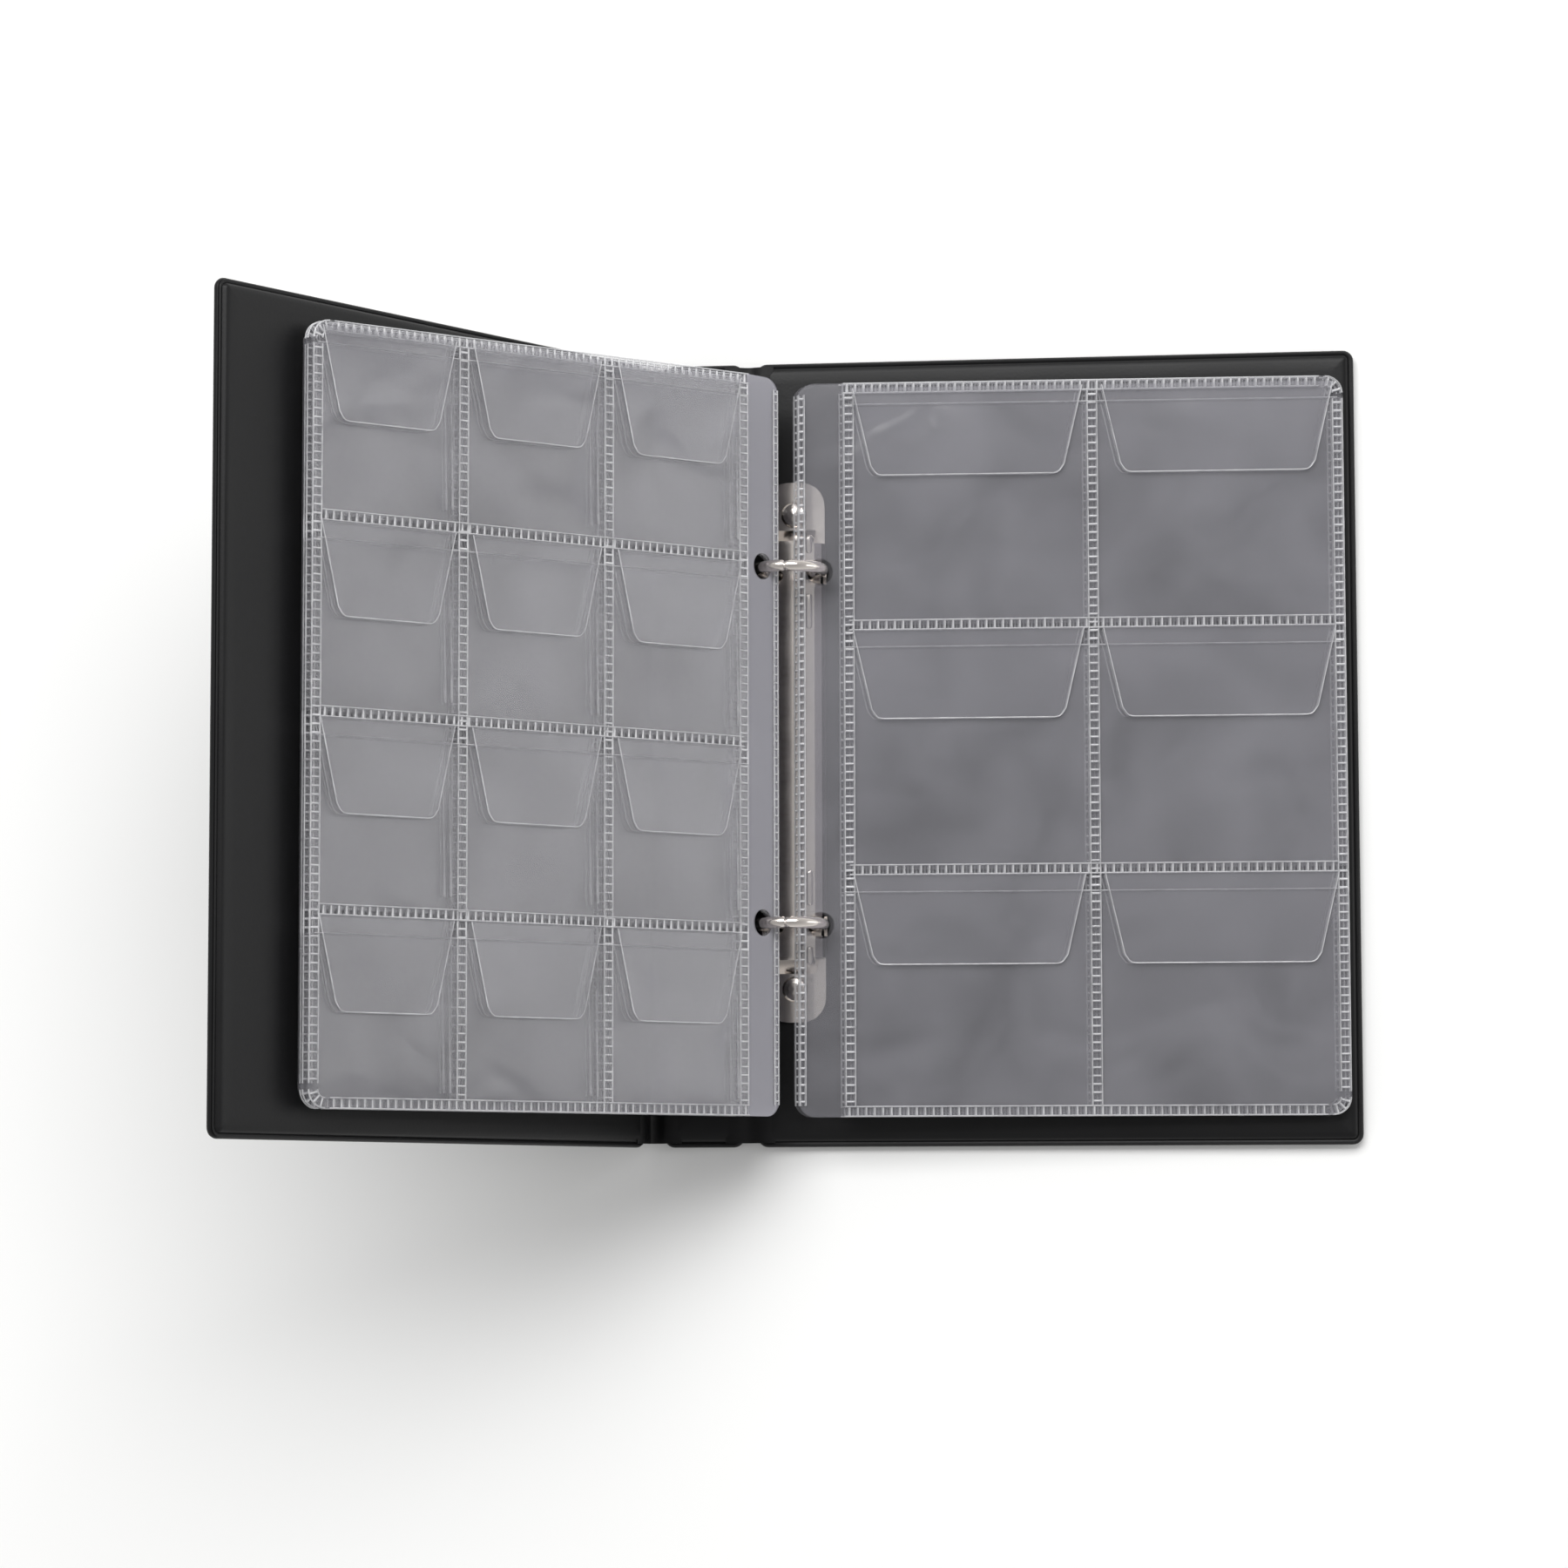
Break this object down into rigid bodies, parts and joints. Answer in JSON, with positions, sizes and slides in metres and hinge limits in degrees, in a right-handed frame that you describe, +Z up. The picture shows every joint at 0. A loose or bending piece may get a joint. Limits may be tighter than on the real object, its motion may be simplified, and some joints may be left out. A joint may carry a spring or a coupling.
{
  "type": "coin album",
  "caption": "Open two-ring coin album: black vinyl covers and spine, a riveted ring mechanism, and clear pocket sheets with lift-up flaps.",
  "frame": {"origin": "centre of the back cover's outer face, on the table", "axes": "+Z up, away from the table; +X towards the back cover's open edge; +Y towards the top of the sheets"},
  "size_m": [0.2356, 0.179, 0.1179],
  "materials": {
    "black_vinyl": "satin, fine-grained calendered PVC",
    "greyboard": "raw pressed greyboard, matte",
    "nickel_steel": "bright nickel plate on steel",
    "clear_film": "clear glossy soft PVC film"
  },
  "bodies": {
    "back_cover": {"back_cover_outer_skin": "black_vinyl", "back_cover_board": "greyboard", "back_cover_lining": "black_vinyl", "back_hinge_web": "black_vinyl", "ring_housing": "nickel_steel", "rivet_upper": "nickel_steel", "rivet_lower": "nickel_steel"},
    "spine": {"spine_outer_skin": "black_vinyl", "spine_board": "greyboard", "spine_lining": "black_vinyl", "front_hinge_web": "black_vinyl"},
    "front_cover": {"front_cover_outer_skin": "black_vinyl", "front_cover_board": "greyboard", "front_cover_lining": "black_vinyl"},
    "left_ring_side": {"left_blade": "nickel_steel", "left_half_ring_upper": "nickel_steel", "left_half_ring_lower": "nickel_steel"},
    "right_ring_side": {"right_blade": "nickel_steel", "right_half_ring_upper": "nickel_steel", "right_half_ring_lower": "nickel_steel"},
    "left_sheet_1": {"left_sheet_1_margin": "clear_film", "left_sheet_1_back_film": "clear_film", "left_sheet_1_pocket_film": "clear_film"},
    "left_sheet_2": {"left_sheet_2_margin": "clear_film", "left_sheet_2_back_film": "clear_film", "left_sheet_2_pocket_film": "clear_film"},
    "left_sheet_3": {"left_sheet_3_margin": "clear_film", "left_sheet_3_back_film": "clear_film", "left_sheet_3_pocket_film": "clear_film"},
    "right_sheet_1": {"right_sheet_1_back_film": "clear_film", "right_sheet_1_pocket_film": "clear_film"},
    "right_sheet_2": {"right_sheet_2_back_film": "clear_film", "right_sheet_2_pocket_film": "clear_film"},
    "right_sheet_3": {"right_sheet_3_back_film": "clear_film", "right_sheet_3_pocket_film": "clear_film"},
    "flap_row_1_left": {"flap_row_1_left": "clear_film"},
    "flap_row_1_right": {"flap_row_1_right": "clear_film"},
    "flap_row_2_left": {"flap_row_2_left": "clear_film"},
    "flap_row_2_right": {"flap_row_2_right": "clear_film"},
    "flap_row_3_left": {"flap_row_3_left": "clear_film"},
    "flap_row_3_right": {"flap_row_3_right": "clear_film"}
  },
  "joints": [
    {"name": "spine_hinge", "type": "hinge", "parent": "back_cover", "child": "spine", "pos_m": [-0.0694, 0, 0.0032], "axis": [0, 1, 0], "range_deg": [0, 90]},
    {"name": "front_cover_fold", "type": "hinge", "parent": "spine", "child": "front_cover", "pos_m": [-0.0922, 0, 0.0032], "axis": [0, 1, 0], "range_deg": [0, 32.5]},
    {"name": "left_ring_open", "type": "hinge", "parent": "back_cover", "child": "left_ring_side", "pos_m": [-0.0652, 0, 0.00545], "axis": [0, -1, 0], "range_deg": [0, 8.5]},
    {"name": "right_ring_open", "type": "hinge", "parent": "back_cover", "child": "right_ring_side", "pos_m": [-0.0528, 0, 0.00545], "axis": [0, 1, 0], "range_deg": [0, 8.5]},
    {"name": "left_sheet_1_turn", "type": "hinge", "parent": "back_cover", "child": "left_sheet_1", "pos_m": [-0.059, 0, 0.0145], "axis": [0, 1, 0], "range_deg": [0, 134.1]},
    {"name": "left_sheet_2_turn", "type": "hinge", "parent": "back_cover", "child": "left_sheet_2", "pos_m": [-0.059, 0, 0.0145], "axis": [0, 1, 0], "range_deg": [0, 134.1]},
    {"name": "left_sheet_3_turn", "type": "hinge", "parent": "back_cover", "child": "left_sheet_3", "pos_m": [-0.059, 0, 0.0145], "axis": [0, 1, 0], "range_deg": [0, 134.1]},
    {"name": "right_sheet_1_turn", "type": "hinge", "parent": "back_cover", "child": "right_sheet_1", "pos_m": [-0.059, 0, 0.0145], "axis": [0, 1, 0], "range_deg": [-112, 0]},
    {"name": "right_sheet_2_turn", "type": "hinge", "parent": "back_cover", "child": "right_sheet_2", "pos_m": [-0.059, 0, 0.0145], "axis": [0, 1, 0], "range_deg": [-108.18, 0]},
    {"name": "right_sheet_3_turn", "type": "hinge", "parent": "back_cover", "child": "right_sheet_3", "pos_m": [-0.059, 0, 0.0145], "axis": [0, 1, 0], "range_deg": [-104.26, 0]},
    {"name": "flap_row_1_left_lift", "type": "hinge", "parent": "right_sheet_1", "child": "flap_row_1_left", "pos_m": [-0.01895, 0.0817, 0.01043], "axis": [0.9991, 0, -0.0433], "range_deg": [-25, 0]},
    {"name": "flap_row_1_right_lift", "type": "hinge", "parent": "right_sheet_1", "child": "flap_row_1_right", "pos_m": [0.03725, 0.0817, 0.008], "axis": [0.9991, 0, -0.0433], "range_deg": [-25, 0]},
    {"name": "flap_row_2_left_lift", "type": "hinge", "parent": "right_sheet_1", "child": "flap_row_2_left", "pos_m": [-0.01895, 0.02637, 0.01043], "axis": [0.9991, 0, -0.0433], "range_deg": [-25, 0]},
    {"name": "flap_row_2_right_lift", "type": "hinge", "parent": "right_sheet_1", "child": "flap_row_2_right", "pos_m": [0.03725, 0.02637, 0.008], "axis": [0.9991, 0, -0.0433], "range_deg": [-25, 0]},
    {"name": "flap_row_3_left_lift", "type": "hinge", "parent": "right_sheet_1", "child": "flap_row_3_left", "pos_m": [-0.01895, -0.02897, 0.01043], "axis": [0.9991, 0, -0.0433], "range_deg": [-25, 0]},
    {"name": "flap_row_3_right_lift", "type": "hinge", "parent": "right_sheet_1", "child": "flap_row_3_right", "pos_m": [0.03725, -0.02897, 0.008], "axis": [0.9991, 0, -0.0433], "range_deg": [-25, 0]}
  ],
  "couplings": [
    {"joint": "front_cover_fold", "follows": "spine_hinge", "ratio": 0.36},
    {"joint": "right_ring_open", "follows": "left_ring_open", "ratio": 1},
    {"joint": "left_sheet_1_turn", "follows": "spine_hinge", "ratio": 1.4889},
    {"joint": "left_sheet_2_turn", "follows": "spine_hinge", "ratio": 1.4889},
    {"joint": "left_sheet_3_turn", "follows": "spine_hinge", "ratio": 1.4889},
    {"joint": "right_sheet_2_turn", "follows": "right_sheet_1_turn", "ratio": 0.965},
    {"joint": "right_sheet_3_turn", "follows": "right_sheet_1_turn", "ratio": 0.93}
  ]
}
